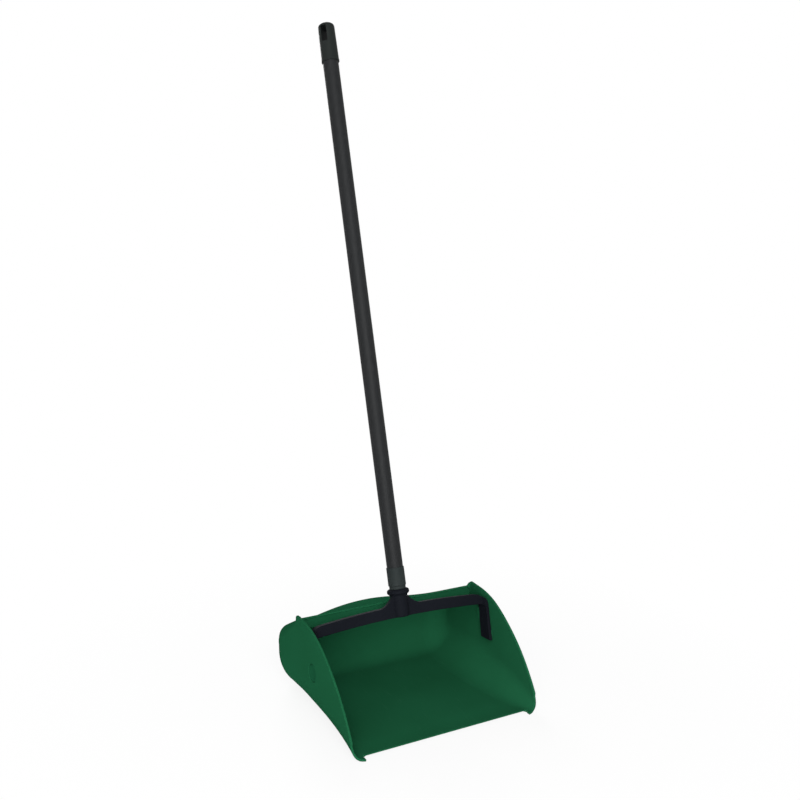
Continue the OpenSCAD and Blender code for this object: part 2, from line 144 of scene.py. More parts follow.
def floor_corner_r(y):
    growing = CORNER_MOST - CORNER_LOSS * math.exp(-(max(y, TOE_Y) - TOE_Y) / CORNER_FADE)
    return min(growing, HEEL_SIDE_R + CORNER_SLOPE * (HEEL_Y - y))


def crown_at(share):
    bow = 1 - (share * TOE_X / CROWN_HALF_W) ** 2
    return 0.5 * (bow + math.hypot(bow, CROWN_BLEND))


print("floor corners grow from", floor_corner_r(TOE_Y), "to", floor_corner_r(HEEL_Y))

# %% [markdown]
# A side profile is a list of rows. Each row holds a place, the direction into the pan there, and
# the radius with which the profile rolls into the side wall. A bent curve could be the profile too,
# but rows keep the same count in every column, so the columns join without a twist. The shoulder
# rises towards the middle of the pan, which gives the hood its crown, and the hood runs straight
# from the shoulder to its front edge.

# %% Rows of the floor, heel and back wall
LIP_Y = TOE_Y + 6.0
BACK_SIDE_R, SHOULDER_SIDE_R = 31.0, 29.5
TOE_ROWS, FLOOR_ROWS, HEEL_ROWS, BACK_ROWS = 3, 17, 12, 3
FLOOR_EASE, HEEL_EASE = 1.5, 0.9


def floor_rows(start_y, lip_y):
    ys = [start_y + (lip_y - start_y) * i / TOE_ROWS for i in range(TOE_ROWS)]
    ys += [lip_y + (HEEL_Y - lip_y) * (i / FLOOR_ROWS) ** FLOOR_EASE for i in range(FLOOR_ROWS + 1)]
    return [(y, 0.0, 0.0, 1.0, floor_corner_r(y)) for y in ys]


def heel_and_back_rows(shoulder_z):
    rows, low_r = [], floor_corner_r(HEEL_Y)
    for i in range(1, HEEL_ROWS + 1):
        a = math.radians(-90 + 90 * i / HEEL_ROWS)
        ny, nz = -math.cos(a), -math.sin(a)
        r = low_r + (BACK_SIDE_R - low_r) * (i / HEEL_ROWS) ** HEEL_EASE
        rows.append((HEEL_Y - HEEL_R * ny, HEEL_R - HEEL_R * nz, ny, nz, r))
    for i in range(1, BACK_ROWS + 1):
        share = i / BACK_ROWS
        r = BACK_SIDE_R + (SHOULDER_SIDE_R - BACK_SIDE_R) * share
        rows.append((BACK_Y, HEEL_R + (shoulder_z - HEEL_R) * share, -1.0, 0.0, r))
    return rows


print("lip at", LIP_Y, "and heel from", HEEL_Y)

# %% Rows of the shoulder and hood, and the whole profile
SHOULDER_R, SHOULDER_Z, CROWN = 30.0, 58.5, 14.5
HOOD_Y, HOOD_Z, HOOD_SIDE_R, HOOD_REAR_R = 53.0, 122.0, 7.0, 20.0
SHOULDER_ROWS, HOOD_ROWS, SHOULDER_EASE = 10, 12, 0.6


def shoulder_and_hood_rows(mid_y, mid_z):
    rows = []
    back, up = HOOD_Y - mid_y, HOOD_Z - mid_z
    touch = math.atan2(up, back) - math.acos(SHOULDER_R / math.hypot(back, up))
    for i in range(1, SHOULDER_ROWS + 1):
        a = touch * i / SHOULDER_ROWS
        ny, nz = -math.cos(a), -math.sin(a)
        still_to_go = (1 - i / SHOULDER_ROWS) ** SHOULDER_EASE
        r = HOOD_REAR_R + (SHOULDER_SIDE_R - HOOD_REAR_R) * still_to_go
        rows.append((mid_y - SHOULDER_R * ny, mid_z - SHOULDER_R * nz, ny, nz, r))
    y0, z0, ny, nz, r0 = rows[-1]
    for i in range(1, HOOD_ROWS + 1):
        share = i / HOOD_ROWS
        y, z = y0 + (HOOD_Y - y0) * share, z0 + (HOOD_Z - z0) * share
        rows.append((y, z, ny, nz, r0 + (HOOD_SIDE_R - r0) * share))
    return rows


def side_profile(start_y, lip_y, crown_share):
    shoulder_z = SHOULDER_Z + CROWN * crown_share
    return (floor_rows(start_y, lip_y) + heel_and_back_rows(shoulder_z)
            + shoulder_and_hood_rows(BACK_Y - SHOULDER_R, shoulder_z))


print("rows in a profile", len(side_profile(TOE_Y, LIP_Y, 1.0)))

# %% [markdown]
# Columns of such rows run from wall to wall. Those near a wall turn through a quarter circle, so
# floor, heel, shoulder and hood all roll into the wall with their own radius. The skin could be
# written out as faces, but extrusion does that by itself: the first column is a chain of edges, and
# each extrusion carries the chain on to the next column. In front of the lip only the two toes keep
# their faces.

# %% Columns from wall to wall
ROLL_STEPS, FLAT_STEPS, SETTLE_STEPS = 9, 44, 30
TOE_LEAST, FLAT_SPARE, BESIDE_ROLL = 4.0, 1.5, 0.983


def roll_column(side, angle):
    start, lift, out = TOE_Y, 1 - math.cos(angle), math.sin(angle)
    for _ in range(SETTLE_STEPS):
        r = floor_corner_r(start)
        edge_y = front_edge_y(r * lift)
        start = max(min(edge_y, toe_front_y(HALF_W - r + r * out)), edge_y - TOE_POINT)
    rows = side_profile(start, max(LIP_Y, start + TOE_LEAST), crown_at(1))
    return [(side * (HALF_W - r + r * out), y + r * lift * ny, z + r * lift * nz)
            for y, z, ny, nz, r in rows]


def flat_column(share):
    rows = side_profile(toe_front_y(TOE_X), LIP_Y, crown_at(share))
    return [(share * min(TOE_X, HALF_W - r - FLAT_SPARE), y, z) for y, z, ny, nz, r in rows]


shares = [-1 + 2 * i / FLAT_STEPS for i in range(FLAT_STEPS + 1)]
shares = sorted(shares + [-BESIDE_ROLL, BESIDE_ROLL])
angles = [math.radians(90 * i / ROLL_STEPS) for i in range(ROLL_STEPS + 1)]
columns = [roll_column(-1, angle) for angle in reversed(angles)]
columns += [flat_column(share) for share in shares]
columns += [roll_column(1, angle) for angle in angles]
print("columns", len(columns))

# %% Skin of the pan between the walls
def points_in(grown):
    return [g for g in grown if isinstance(g, bmesh.types.BMVert)]


pan = bmesh.new()
chain = [pan.verts.new(Vector(p) * MM) for p in columns[0]]
wall_chains = [chain]
for places in columns[1:]:
    edges = [pan.edges.get(pair) or pan.edges.new(pair) for pair in zip(chain, chain[1:])]
    new_points = set(points_in(bmesh.ops.extrude_edge_only(pan, edges=edges)["geom"]))
    chain = [next(e.other_vert(v) for e in v.link_edges if e.other_vert(v) in new_points)
             for v in chain]
    for v, p in zip(chain, places):
        v.co = Vector(p) * MM
wall_chains.append(chain)
print("skin", len(pan.verts), "points", len(pan.faces), "faces")

# %% Open the front between the toes
HAIR, LEVEL = 0.1, 0.01


def before_lip(face):
    c = face.calc_center_median() / MM
    return c.y < LIP_Y and abs(c.x) < TOE_X - HAIR and c.z < LEVEL


in_front = [f for f in pan.faces if before_lip(f)]
bmesh.ops.delete(pan, geom=in_front, context="FACES")
print("faces taken from in front of the lip", len(in_front))

# %% [markdown]
# Each side wall is flat, so its outline is enough: the rolled edge below, the ear at the top, the
# curved front edge, and a round hole for the hinge seat. A grid of faces could follow that outline,
# but triangle fill closes it in one step and leaves the hole. The real front edge isn't quite an
# arc: it is a little fuller below the ear and above the toe.

# %% Outline of a side wall
EAR_TIP_R, EAR_TIP_STEPS, EAR_TIP_TURN = 5.0, 6, 100
EAR_ROOT_IN, EAR_ROOT_UP, EAR_HEEL_OUT, EAR_HEEL_DOWN = 0.6, 5.0, 0.2, 1.2
BULGE, BULGE_FOOT, BULGE_EASE, LOW_BULGE, LOW_EASE = 3.4, 60.0, 4.2, 2.2, 2
EDGE_STEPS = 48


def arc(across, up, r, degrees):
    turns = [math.radians(d) for d in degrees]
    return [(across + r * math.cos(a), up + r * math.sin(a)) for a in turns]


def bulge_at(z):
    high = max(0.0, (z - BULGE_FOOT) / (EAR_Z - BULGE_FOOT))
    low = max(0.0, 1 - z / BULGE_FOOT)
    return (BULGE * math.sin(math.pi * high ** BULGE_EASE)
            + LOW_BULGE * math.sin(math.pi * low ** LOW_EASE))


def ear_and_front_edge(top_y, top_z, foot_y, foot_z):
    places = [(top_y - EAR_ROOT_IN, top_z + EAR_ROOT_UP),
              (EAR_Y + EAR_HEEL_OUT, EAR_Z - EAR_TIP_R - EAR_HEEL_DOWN)]
    places += arc(EAR_Y - EAR_TIP_R, EAR_Z - EAR_TIP_R, EAR_TIP_R,
                  [EAR_TIP_TURN * i / EAR_TIP_STEPS for i in range(EAR_TIP_STEPS + 1)])
    a0 = math.atan2(EAR_Z - EDGE_CZ, EAR_Y - EDGE_CY)
    a1 = math.atan2(foot_z - EDGE_CZ, foot_y - EDGE_CY)
    for i in range(2, EDGE_STEPS):
        a = a0 + (a1 - a0) * i / EDGE_STEPS
        r = EDGE_R + bulge_at(EDGE_CZ + EDGE_R * math.sin(a))
        places.append((EDGE_CY + r * math.cos(a), EDGE_CZ + r * math.sin(a)))
    return places


print("front edge is fuller by up to", BULGE, "above and", LOW_BULGE, "below")

# %% Side walls with ears and hinge holes
PIVOT_Z, SEAT_R, SEAT_SIDES, MERGE_WITHIN, FACING_Z = 67.0, 12.0, 48, 0.02, 0.9
ACROSS = Matrix.Rotation(math.pi / 2, 4, "Y")


def edges_round(ring):
    return list(dict.fromkeys(e for v in ring for e in v.link_edges))


for side, chain in zip((-1, 1), wall_chains):
    top, foot = chain[-1], chain[0]
    rim = ear_and_front_edge(top.co.y / MM, top.co.z / MM, foot.co.y / MM, foot.co.z / MM)
    loop = [top] + [pan.verts.new(Vector((side * HALF_W, y, z)) * MM) for y, z in rim] + [foot]
    outline = [pan.edges.new(pair) for pair in zip(loop, loop[1:])]
    outline += [pan.edges.get(pair) for pair in zip(chain, chain[1:])]
    place = Matrix.Translation(Vector((side * HALF_W, 0, PIVOT_Z)) * MM) @ ACROSS
    ring = bmesh.ops.create_circle(pan, segments=SEAT_SIDES, radius=SEAT_R * MM,
                                   matrix=place)["verts"]
    bmesh.ops.triangle_fill(pan, use_beauty=True, use_dissolve=False,
                            edges=outline + edges_round(ring), normal=(side, 0, 0))
bmesh.ops.remove_doubles(pan, verts=pan.verts, dist=MERGE_WITHIN * MM)
bmesh.ops.recalc_face_normals(pan, faces=pan.faces)
on_floor = [f for f in pan.faces if abs(f.normal.z) > FACING_Z
            and f.calc_center_median().z < LEVEL * MM]
if sum(f.normal.z for f in on_floor) > 0:
    bmesh.ops.reverse_faces(pan, faces=pan.faces)
print("skin with walls", len(pan.faces), "faces")

# %% [markdown]
# A real pan has one even wall thickness, and its lip is turned up and thinned so that dust slides
# over it. The thickness could stay a Solidify modifier, but then the lip couldn't be shaped, so the
# solidify operator is used. Points close to the front edge are then lifted, more from below than
# from above, up to where the two toes begin. At the end the walls close in slightly to the rear.

# %% Thickness, lip and rounded rims
TOE_END_Y, LIP_LIFT, LIP_EDGE, LIP_SIDE_W = TOE_Y + 20.0, 1.9, 1.6, 2.0
UNDERSIDE_BELOW, FLOOR_BELOW = 1.5, 4.0
RIM_ROUND, TAPER_Y, TAPER = 0.7, 20.0, 0.011


def clamped(value, low=0.0, high=1.0):
    return max(low, min(high, value))


bmesh.ops.solidify(pan, geom=list(pan.faces), thickness=WALL * MM)
for v in pan.verts:
    x, y, z = v.co / MM
    near = clamped((TOE_END_Y - y) / (TOE_END_Y - LIP_Y)) * clamped((TOE_X - abs(x)) / LIP_SIDE_W)
    if z < UNDERSIDE_BELOW:
        v.co.z += LIP_LIFT * near * MM
    elif z < FLOOR_BELOW:
        v.co.z += (LIP_LIFT + LIP_EDGE - WALL) * near * MM
soften(pan, RIM_ROUND, degrees=50)
for v in pan.verts:
    v.co.x = clamped(v.co.x, -HALF_W * MM, HALF_W * MM)
    v.co.y = max((TOE_Y - TOE_POINT) * MM, v.co.y)
    v.co.z = max(0.0, v.co.z)
    v.co.x *= 1 - TAPER * max(0.0, v.co.y / MM - TAPER_Y) / (BACK_Y - TAPER_Y)
print("pan skin", len(pan.faces), "faces")

# %% [markdown]
# The rest of the pan's moulding is small: a fascia that hangs flush from the hood's front edge and
# stiffens it, a rounded ear with a stay at each end of the hood, a round seat for each hinge pin,
# and a rib behind each arm that the handle leans on. Booleans could fuse them to the skin, but they
# would cut up its clean faces. Small closed bodies that sink into the skin look the same.

# %% Helpers for turned and drawn-out bodies
TURNED_MERGE = 0.01


def turned(profile, steps, closed=True):
    bm = bmesh.new()
    points = [bm.verts.new((r * MM, 0, z * MM)) for r, z in profile]
    pairs = list(zip(points, points[1:])) + ([(points[-1], points[0])] if closed else [])
    outline = [bm.edges.new(pair) for pair in pairs]
    bmesh.ops.spin(bm, geom=points + outline, cent=(0, 0, 0), axis=(0, 0, 1), angle=2 * math.pi,
                   steps=steps, use_merge=True, use_duplicate=False)
    bmesh.ops.remove_doubles(bm, verts=bm.verts, dist=TURNED_MERGE * MM)
    bmesh.ops.recalc_face_normals(bm, faces=bm.faces)
    return bm


def drawn_out(corners, along):
    bm = bmesh.new()
    face = bm.faces.new([bm.verts.new(Vector(c) * MM) for c in corners])
    grown = bmesh.ops.extrude_face_region(bm, geom=[face])["geom"]
    bmesh.ops.translate(bm, vec=Vector(along) * MM, verts=points_in(grown))
    bmesh.ops.recalc_face_normals(bm, faces=bm.faces)
    return bm


def join_into(bm, part, place=Matrix.Identity(4)):
    bmesh.ops.transform(part, matrix=place, verts=part.verts)
    if place.determinant() < 0:
        bmesh.ops.reverse_faces(part, faces=part.faces)
    mesh = bpy.data.meshes.new("joined")
    part.to_mesh(mesh)
    part.free()
    bm.from_mesh(mesh)
    bpy.data.meshes.remove(mesh)


print("helpers ready")

# %% Fascia under the hood's front edge
INNER_W, FASCIA_H, SINK, FLUSH = HALF_W - WALL, 17.0, 0.4, 0.05
fascia_end, fascia_low = INNER_W + SINK, HOOD_Z - FASCIA_H
side_view = [(HOOD_Y + FLUSH, fascia_low), (HOOD_Y + WALL, fascia_low),
             (HOOD_Y + WALL, HOOD_Z - WALL), (HOOD_Y + FLUSH, HOOD_Z - SINK)]
fascia = drawn_out([(-fascia_end, y, z) for y, z in side_view], (2 * fascia_end, 0, 0))
soften(fascia, RIM_ROUND)
join_into(pan, fascia)
print("fascia hangs", FASCIA_H, "below the hood")

# %% Ears with their stays
EAR_L, EAR_PAST, EAR_FOOT, EAR_NOSE, EAR_ROUND, INSET = 22.0, 3.4, 9.0, 3.5, 0.6, 0.1
STAY_Y, STAY_T, STAY_W, STAY_TOP_W, STAY_ROUND = 5.0, 4.6, 4.5, 1.5, 0.8
STAY_FOOT, STAY_SHOULDER, STAY_TIP, STAY_TOP = 4.0, 0.5, 2.5, 2.0
SIDES = (Matrix.Identity(4), Matrix.Scale(-1, 4, (1, 0, 0)))
ear_front, ear_end, ear_foot = EAR_Y - EAR_L, EAR_Y + EAR_PAST, HOOD_Z - EAR_FOOT
side_view = [(ear_front, ear_foot), (ear_end, ear_foot), (ear_end, EAR_Z - EAR_TIP_R)]
side_view += arc(ear_end - EAR_TIP_R, EAR_Z - EAR_TIP_R, EAR_TIP_R, range(15, 91, 15))
side_view += [(EAR_Y - EAR_TIP_R, EAR_Z - INSET), (ear_front, EAR_Z - EAR_NOSE)]
front_view = [(INNER_W + SINK, HOOD_Z - STAY_FOOT), (INNER_W - STAY_W, HOOD_Z - STAY_FOOT),
              (INNER_W - STAY_W, HOOD_Z + STAY_SHOULDER), (INNER_W - STAY_TOP_W, EAR_Z - STAY_TIP),
              (INNER_W + SINK, EAR_Z - STAY_TOP)]
for mirrored in SIDES:
    ear = drawn_out([(INNER_W + INSET, y, z) for y, z in side_view], (WALL - 2 * INSET, 0, 0))
    soften(ear, EAR_ROUND)
    join_into(pan, ear, mirrored)
    stay = drawn_out([(x, ear_end - STAY_Y, z) for x, z in front_view], (0, STAY_T, 0))
    soften(stay, STAY_ROUND)
    join_into(pan, stay, mirrored)
print("ears reach", EAR_Z, "high")

# %% Hinge seats and stop ribs
SEAT_FACE, SEAT_BED, SEAT_LAP, SEAT_DROP = HALF_W - 1.8, 0.3, 0.6, 0.2
BOSS_R, BOSS_H, BOSS_BEVEL, PIN_R, PRESS_FIT = 9.0, 1.2, 0.5, 4.0, 0.1
ARM_END_BACK, BAR_BACK, ARM_JOINT, ARM_BACK_Z = 12.0, 7.5, 38.8, -4.5
STOP_UP, STOP_H, STOP_D, STOP_OUT, STOP_ROUND, PASS_GAP = 20.0, 18.0, 6.0, 5.0, 0.8, 0.3
LEAN = math.radians(17.8)
ON_HINGE = Matrix.Translation((0, 0, PIVOT_Z * MM))
ON_HANDLE = ON_HINGE @ Matrix.Rotation(-LEAN, 4, "X")


def arm_back(s):
    return ARM_END_BACK + (BAR_BACK - ARM_END_BACK) * (s - ARM_BACK_Z) / (ARM_JOINT - ARM_BACK_Z)


boss_face, bed = INNER_W - BOSS_H, INNER_W + SEAT_BED
seat_profile = [(PIN_R + PRESS_FIT, boss_face), (BOSS_R - BOSS_BEVEL, boss_face),
                (BOSS_R, boss_face + BOSS_BEVEL), (BOSS_R, bed), (SEAT_R + SEAT_LAP, bed),
                (SEAT_R + SEAT_LAP, SEAT_FACE - SEAT_DROP), (SEAT_R - SEAT_BED, SEAT_FACE),
                (PIN_R + PRESS_FIT, SEAT_FACE)]
stop_top = STOP_UP + STOP_H
stop_view = [(STOP_UP, 0), (STOP_UP, STOP_D), (stop_top, STOP_D), (stop_top, 0)]
for mirrored in SIDES:
    join_into(pan, turned(seat_profile, SEAT_SIDES), mirrored @ ON_HINGE @ ACROSS)
    rib = drawn_out([(INNER_W + SINK, arm_back(s) + PASS_GAP + d, s) for s, d in stop_view],
                    (-STOP_OUT - SINK, 0, 0))
    soften(rib, STOP_ROUND)
    join_into(pan, rib, mirrored @ ON_HANDLE)
pan_moulding = hand_over(pan, "pan_moulding", "pan_body", "pan")

# %% [markdown]
# A hinge pin is pressed into each wall from outside. Its head is a shallow dish that almost fills
# the seat, so from outside it reads as a round dimple, and its plain end turns in a blind hole in
# the yoke's arm. A cylinder with a bevel would come close, but spinning half an outline gives the
# dish and the tapered end as well.

# %% Hinge pins
PIN_END, PIN_LEAD, HEAD_R, HEAD_T = 134.5, 0.6, 11.5, 1.5
DISH, DISH_RIM, DISH_STEPS = 0.7, 1.6, 6
HEAD_ROUND = ((0.8, 0.0), (0.2, 0.3), (0.0, 0.9))
head_top, dish_r = SEAT_FACE + HEAD_T, HEAD_R - DISH_RIM
profile = []
for i in range(DISH_STEPS + 1):
    share = i / DISH_STEPS
    profile.append((dish_r * share, head_top - DISH * (1 - share ** 2)))
profile += [(HEAD_R - inward, head_top - down) for inward, down in HEAD_ROUND]
profile += [(HEAD_R, SEAT_FACE), (PIN_R, SEAT_FACE), (PIN_R, PIN_END + PIN_LEAD),
            (PIN_R - PIN_LEAD, PIN_END), (0, PIN_END)]
pins = []
for side, mirrored in zip(("right", "left"), SIDES):
    pin = turned(profile, SEAT_SIDES, closed=False)
    bmesh.ops.transform(pin, matrix=mirrored @ ON_HINGE @ ACROSS, verts=pin.verts)
    bmesh.ops.recalc_face_normals(pin, faces=pin.faces)
    pins.append(hand_over(pin, "hinge_pin_" + side, "pan_body", "pivot_pin_" + side))

# %% [markdown]
# ## The yoke
# The yoke is a black moulding: two flat arms that stand inside the pan's walls, joined by an arched
# bar with rounded corners, and a screw socket in its middle. The bar's face lies behind the arms'
# front edges, with a step across each corner. It could be joined from boxes, but the corners would
# show seams. Bar and arms are one strip with four edges, so a ring of four points is bridged to the
# next one, from one arm's foot over the arch to the other.

# %% Arches, corners and arms of the yoke
ARM_X, ARM_OUT_X, ARM_DROP, END_FRONT, ARM_FRONT = 133.0, 137.5, 9.5, -10.0, -12.5
BAR_TOP, BAR_H, BAR_ARCH, LOW_ARCH, BAR_FACE = 64.0, 15.2, 6.8, 5.8, -4.5
CORNER_R, INNER_R = 16.0, 4.0
BAR_LOW = BAR_TOP - BAR_H
ARCH_R = (ARM_X ** 2 + BAR_ARCH ** 2) / (2 * BAR_ARCH)
LOW_R = (ARM_X ** 2 + LOW_ARCH ** 2) / (2 * LOW_ARCH)
ARCH_Z, LOW_Z = BAR_TOP - ARCH_R, BAR_LOW - LOW_R
CORNER_X, INNER_X = ARM_OUT_X - CORNER_R, ARM_X - INNER_R
CORNER_Z = ARCH_Z + math.sqrt((ARCH_R - CORNER_R) ** 2 - CORNER_X ** 2)
INNER_Z = LOW_Z + math.sqrt((LOW_R - INNER_R) ** 2 - INNER_X ** 2)


def bar_top_z(x):
    return ARCH_Z + math.sqrt(ARCH_R ** 2 - x ** 2)


def bar_low_z(x):
    return LOW_Z + math.sqrt(LOW_R ** 2 - x ** 2)


def arm_front(s):
    return END_FRONT + (ARM_FRONT - END_FRONT) * (s + ARM_DROP) / (ARM_JOINT + ARM_DROP)


print("bar arches with radius", round(ARCH_R), "above and", round(LOW_R), "below")

# %% Rings of the strip, from the middle of the bar to an arm's foot
CORE_START, CORE_PITCH, CORE_CELLS, CELL_STEPS = 15.25, 23.35, 5, 4
CORNER_STEPS, FACE_STEP_AT, FACE_STEP_W, CORNER_SPARE = 8, 3, 2, 1.0
ARM_STATIONS = (26.0, 11.0)


def ring_of(outer, inner, front, back):
    (xo, zo), (xi, zi) = outer, inner
    return [(xo, front, zo), (xi, front, zi), (xi, back, zi), (xo, back, zo)]


def right_half_of_strip():
    cell_xs = [CORE_START + CORE_PITCH * (k + i / CELL_STEPS)
               for k in range(CORE_CELLS) for i in range(CELL_STEPS)]
    bar_xs = [0.0, CORE_START / 2] + [x for x in cell_xs if x < CORNER_X - CORNER_SPARE]
    half = [ring_of((x, bar_top_z(x)), (x, bar_low_z(x)), BAR_FACE, BAR_BACK) for x in bar_xs]
    out_a = math.degrees(math.atan2(CORNER_Z - ARCH_Z, CORNER_X))
    in_a = math.degrees(math.atan2(INNER_Z - LOW_Z, INNER_X))
    left = [1 - i / CORNER_STEPS for i in range(CORNER_STEPS + 1)]
    outer = arc(CORNER_X, CORNER_Z, CORNER_R, [out_a * share for share in left])
    inner = arc(INNER_X, INNER_Z, INNER_R, [in_a * share for share in left])
    for i, (o, n) in enumerate(zip(outer, inner)):
        face_y = BAR_FACE + (ARM_FRONT - BAR_FACE) * clamped((i - FACE_STEP_AT) / FACE_STEP_W)
        half.append(ring_of(o, n, face_y, BAR_BACK))
    half += [ring_of((ARM_OUT_X, s), (ARM_X, s), arm_front(s), arm_back(s)) for s in ARM_STATIONS]
    half.append([(ARM_OUT_X, END_FRONT, -ARM_DROP), (ARM_X, END_FRONT, -ARM_DROP),
                 (ARM_X, ARM_END_BACK, ARM_BACK_Z), (ARM_OUT_X, ARM_END_BACK, ARM_BACK_Z)])
    return half


half = right_half_of_strip()
rings = [[(-x, y, z) for x, y, z in ring] for ring in reversed(half[1:])] + half
print("rings from foot to foot", len(rings))

# %% Strip of the yoke from foot to foot
YOKE_ROUND = 1.6


def loop_of(bm, ring):
    return [bm.edges.get(pair) or bm.edges.new(pair) for pair in zip(ring, ring[1:] + ring[:1])]


yoke = bmesh.new()
ring = [yoke.verts.new(Vector(p) * MM) for p in rings[0]]
yoke.faces.new(ring)
for places in rings[1:]:
    grown = [yoke.verts.new(Vector(p) * MM) for p in places]
    bmesh.ops.bridge_loops(yoke, edges=loop_of(yoke, ring) + loop_of(yoke, grown))
    ring = grown
yoke.faces.new(ring)
bmesh.ops.recalc_face_normals(yoke, faces=yoke.faces)
soften(yoke, YOKE_ROUND, segments=4, degrees=50)
print("yoke strip", len(yoke.faces), "faces")

# %% [markdown]
# A thick bar cools unevenly, so a real one is hollowed from behind, which leaves a row of pockets
# with ribs between. Boxes could be cut away. Here the faces at the back are inset and pushed in,
# which keeps the mesh whole. The arms' blind holes for the pins are made in a like way: a circle is
# set into the arm's flat side, and its rim is drawn inwards and closed.

# %% Pockets behind the bar
CORE_WALL, POCKET_RIB, POCKET_DRAFT, POCKET_LEAST, FACING = 3.0, 1.2, 0.5, 20.0, 0.99


def pocket_floor(side, x0, x1):
    def belongs(face):
        c = face.calc_center_median() / MM
        return face.normal.y > FACING and x0 < side * c.x < x1 and c.z > ARM_JOINT

    return [f for f in yoke.faces if belongs(f) and f.calc_area() > POCKET_LEAST * MM * MM]


for side in (-1, 1):
    for cell in range(CORE_CELLS):
        x0 = CORE_START + CORE_PITCH * cell
        floor = pocket_floor(side, x0, min(x0 + CORE_PITCH, CORNER_X))
        if not floor:
            continue
        for width in (POCKET_RIB, POCKET_DRAFT):
            bmesh.ops.inset_region(yoke, faces=floor, thickness=width * MM, use_even_offset=True)
        bmesh.ops.translate(yoke, vec=(0, (BAR_FACE + CORE_WALL - BAR_BACK) * MM, 0),
                            verts=list({v for f in floor for v in f.verts}))
print("yoke with pockets", len(yoke.faces), "faces")

# %% Pin holes in the arms
HOLE_SIDES, HOLE_FIT, PLATE_BELOW, PLATE_NEAR = 32, 0.05, 4.0, 0.2


def pin_plate(side):
    def belongs(face):
        c = face.calc_center_median() / MM
        near = abs(c.x - side * ARM_OUT_X) < PLATE_NEAR
        return side * face.normal.x > FACING and c.z < PLATE_BELOW and near

    return next(f for f in yoke.faces if belongs(f))


for side in (-1, 1):
    plate = pin_plate(side)
    outline = list(plate.edges)
    bmesh.ops.delete(yoke, geom=[plate], context="FACES_ONLY")
    place = Matrix.Translation((side * ARM_OUT_X * MM, 0, 0)) @ ACROSS
    mouth = bmesh.ops.create_circle(yoke, segments=HOLE_SIDES, radius=(PIN_R + HOLE_FIT) * MM,
                                    matrix=place)["verts"]
    rim = edges_round(mouth)
    bmesh.ops.triangle_fill(yoke, use_beauty=True, edges=outline + rim, normal=(side, 0, 0))
    grown = bmesh.ops.extrude_edge_only(yoke, edges=rim)["geom"]
    bmesh.ops.translate(yoke, vec=(side * (PIN_END - PASS_GAP - ARM_OUT_X) * MM, 0, 0),
                        verts=points_in(grown))
    end_rim = [g for g in grown if isinstance(g, bmesh.types.BMEdge)]
    bmesh.ops.holes_fill(yoke, edges=end_rim, sides=HOLE_SIDES)
bmesh.ops.recalc_face_normals(yoke, faces=yoke.faces)
print("yoke with pin holes", len(yoke.faces), "faces")

# %% [markdown]
# The socket is a tapered, flanged tube that the handle screws into, and a thin web on each side
# carries its load into the bar. The socket is round, so half its outline is spun. Each web's hollow
# edge is a curve with one bend point, found by sliding along two lines at once.

# %% Socket and webs
SOCKET_TOP, FLANGE_R, FLANGE_T, FLANGE_BEVEL = 87.0, 15.5, 6.5, 2.0
NECK_R, FOOT_R, THREAD_R, THREAD_L = 12.25, 12.0, 8.58, 28.0
FOOT_ROUND, SOCKET_STEPS, SOCKET_ROUND = ((1.5, 0.0), (0.4, 0.5), (0.0, 1.6)), 72, 0.6
WEB_REACH, WEB_RISE, WEB_T, WEB_BEND = 31.0, 13.0, 7.0, Vector((17.5, 68.0))
WEB_TAIL, WEB_SINK, WEB_IN, WEB_STEPS, WEB_ROUND = 0.75, 3.0, 4.0, 8, 1.0
flange_z, thread_end = SOCKET_TOP - FLANGE_T, SOCKET_TOP - THREAD_L
profile = [(0, BAR_LOW)] + [(FOOT_R - inward, BAR_LOW + up) for inward, up in FOOT_ROUND]
profile += [(NECK_R, BAR_TOP + WEB_RISE / 2), (NECK_R, flange_z - FLANGE_BEVEL),
            (FLANGE_R - FLANGE_BEVEL / 2, flange_z), (FLANGE_R, flange_z + FLANGE_BEVEL / 2),
            (FLANGE_R, SOCKET_TOP - FLANGE_BEVEL), (FLANGE_R - FLANGE_BEVEL, SOCKET_TOP),
            (THREAD_R, SOCKET_TOP), (THREAD_R, thread_end), (0, thread_end)]
socket = turned(profile, SOCKET_STEPS, closed=False)
soften(socket, SOCKET_ROUND, degrees=25)
join_into(yoke, socket)
high, low = Vector((NECK_R, BAR_TOP + WEB_RISE)), Vector((WEB_REACH, BAR_TOP - WEB_TAIL))
web_view = [(NECK_R - WEB_IN, high.y)]
for i in range(WEB_STEPS + 1):
    share = i / WEB_STEPS
    web_view.append(high.lerp(WEB_BEND, share).lerp(WEB_BEND.lerp(low, share), share))
web_view += [(WEB_REACH, BAR_TOP - WEB_SINK), (NECK_R - WEB_IN, BAR_TOP - WEB_SINK)]
for mirrored in SIDES:
    web = drawn_out([(x, BAR_FACE + FLUSH, z) for x, z in web_view], (0, WEB_T, 0))
    soften(web, WEB_ROUND, degrees=50)
    join_into(yoke, web, mirrored)
bmesh.ops.transform(yoke, matrix=ON_HANDLE, verts=yoke.verts)
yoke_moulding = hand_over(yoke, "yoke_moulding", "handle_body", "yoke")

# %% [markdown]
# ## Tube, ferrule and cap
# The tube is thin steel with a dark coating. The ferrule hides the joint between the tube and the
# socket, and a groove sets it off from the flange. All three could start from cylinders, but an
# outline that is spun once also gives their bores and steps.

